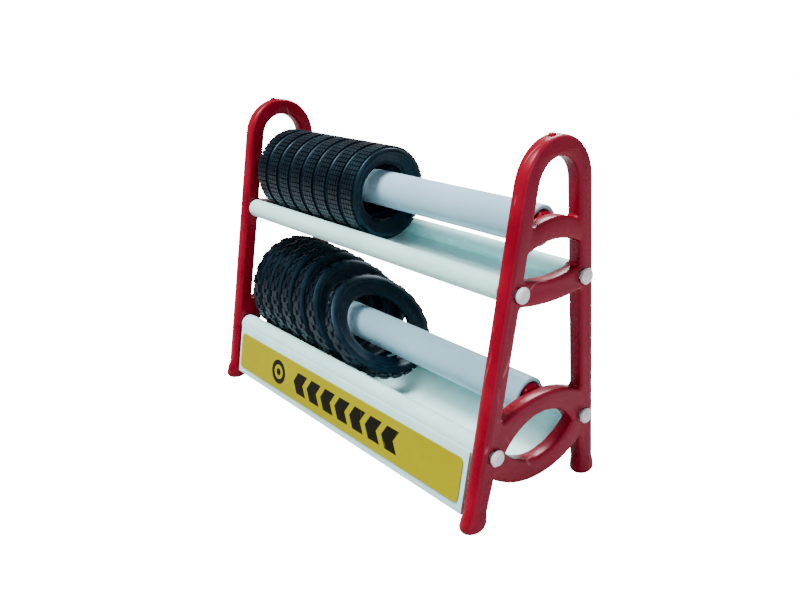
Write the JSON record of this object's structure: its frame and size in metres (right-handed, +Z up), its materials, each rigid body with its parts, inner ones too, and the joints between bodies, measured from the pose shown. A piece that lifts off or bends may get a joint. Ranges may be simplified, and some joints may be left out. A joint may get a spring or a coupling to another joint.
{
  "type": "tyre storage rack",
  "caption": "Scale-model storage rack for tyres: moulded end frames joined by shelves, a round tube above each shelf, a sloping label board, and rows of tyres on the tubes.",
  "frame": {"origin": "on the floor under the middle of the rack", "axes": "+X along the tubes, towards the frame with the free tube ends; -Y the front, with the label board; +Z up"},
  "size_m": [0.0918, 0.0376, 0.07],
  "materials": {
    "red_plastic": "moulded, glossy, light scuffs",
    "white_plastic": "moulded, satin gloss",
    "black_rubber": "soft moulded rubber, satin",
    "yellow_label": "printed vinyl sticker"
  },
  "bodies": {
    "rack": {"end_frame_left": "red_plastic", "end_frame_right": "red_plastic", "upper_shelf": "white_plastic", "lower_shelf": "white_plastic", "label": "yellow_label"},
    "upper_tube": {"upper_tube": "white_plastic"},
    "lower_tube": {"lower_tube": "white_plastic"},
    "tyre_upper_1": {"tyre_upper_1": "black_rubber"},
    "tyre_upper_2": {"tyre_upper_2": "black_rubber"},
    "tyre_upper_3": {"tyre_upper_3": "black_rubber"},
    "tyre_upper_4": {"tyre_upper_4": "black_rubber"},
    "tyre_upper_5": {"tyre_upper_5": "black_rubber"},
    "tyre_upper_6": {"tyre_upper_6": "black_rubber"},
    "tyre_upper_7": {"tyre_upper_7": "black_rubber"},
    "tyre_upper_8": {"tyre_upper_8": "black_rubber"},
    "tyre_lower_1": {"tyre_lower_1": "black_rubber"},
    "tyre_lower_2": {"tyre_lower_2": "black_rubber"},
    "tyre_lower_3": {"tyre_lower_3": "black_rubber"},
    "tyre_lower_4": {"tyre_lower_4": "black_rubber"},
    "tyre_lower_5": {"tyre_lower_5": "black_rubber"},
    "tyre_lower_6": {"tyre_lower_6": "black_rubber"},
    "tyre_lower_7": {"tyre_lower_7": "black_rubber"}
  },
  "joints": [
    {"name": "upper_tube_spin", "type": "hinge", "parent": "rack", "child": "upper_tube", "pos_m": [0, 0, 0.054], "axis": [1, 0, 0], "continuous": true},
    {"name": "lower_tube_spin", "type": "hinge", "parent": "rack", "child": "lower_tube", "pos_m": [0, 0, 0.0212], "axis": [1, 0, 0], "continuous": true},
    {"name": "tyre_upper_1_slide", "type": "slide", "parent": "rack", "child": "tyre_upper_1", "axis": [1, 0, 0], "range_m": [0, 0.0051]},
    {"name": "tyre_upper_2_slide", "type": "slide", "parent": "tyre_upper_1", "child": "tyre_upper_2", "axis": [1, 0, 0], "range_m": [0, 0.0051]},
    {"name": "tyre_upper_3_slide", "type": "slide", "parent": "tyre_upper_2", "child": "tyre_upper_3", "axis": [1, 0, 0], "range_m": [0, 0.0051]},
    {"name": "tyre_upper_4_slide", "type": "slide", "parent": "tyre_upper_3", "child": "tyre_upper_4", "axis": [1, 0, 0], "range_m": [0, 0.0051]},
    {"name": "tyre_upper_5_slide", "type": "slide", "parent": "tyre_upper_4", "child": "tyre_upper_5", "axis": [1, 0, 0], "range_m": [0, 0.0051]},
    {"name": "tyre_upper_6_slide", "type": "slide", "parent": "tyre_upper_5", "child": "tyre_upper_6", "axis": [1, 0, 0], "range_m": [0, 0.0051]},
    {"name": "tyre_upper_7_slide", "type": "slide", "parent": "tyre_upper_6", "child": "tyre_upper_7", "axis": [1, 0, 0], "range_m": [0, 0.0051]},
    {"name": "tyre_upper_8_slide", "type": "slide", "parent": "tyre_upper_7", "child": "tyre_upper_8", "axis": [1, 0, 0], "range_m": [0, 0.0051]},
    {"name": "tyre_lower_1_slide", "type": "slide", "parent": "rack", "child": "tyre_lower_1", "axis": [1, 0, 0], "range_m": [0, 0.0048]},
    {"name": "tyre_lower_2_slide", "type": "slide", "parent": "tyre_lower_1", "child": "tyre_lower_2", "axis": [1, 0, 0], "range_m": [0, 0.0048]},
    {"name": "tyre_lower_3_slide", "type": "slide", "parent": "tyre_lower_2", "child": "tyre_lower_3", "axis": [1, 0, 0], "range_m": [0, 0.0048]},
    {"name": "tyre_lower_4_slide", "type": "slide", "parent": "tyre_lower_3", "child": "tyre_lower_4", "axis": [1, 0, 0], "range_m": [0, 0.0048]},
    {"name": "tyre_lower_5_slide", "type": "slide", "parent": "tyre_lower_4", "child": "tyre_lower_5", "axis": [1, 0, 0], "range_m": [0, 0.0048]},
    {"name": "tyre_lower_6_slide", "type": "slide", "parent": "tyre_lower_5", "child": "tyre_lower_6", "axis": [1, 0, 0], "range_m": [0, 0.0048]},
    {"name": "tyre_lower_7_slide", "type": "slide", "parent": "tyre_lower_6", "child": "tyre_lower_7", "axis": [1, 0, 0], "range_m": [0, 0.0048]}
  ]
}
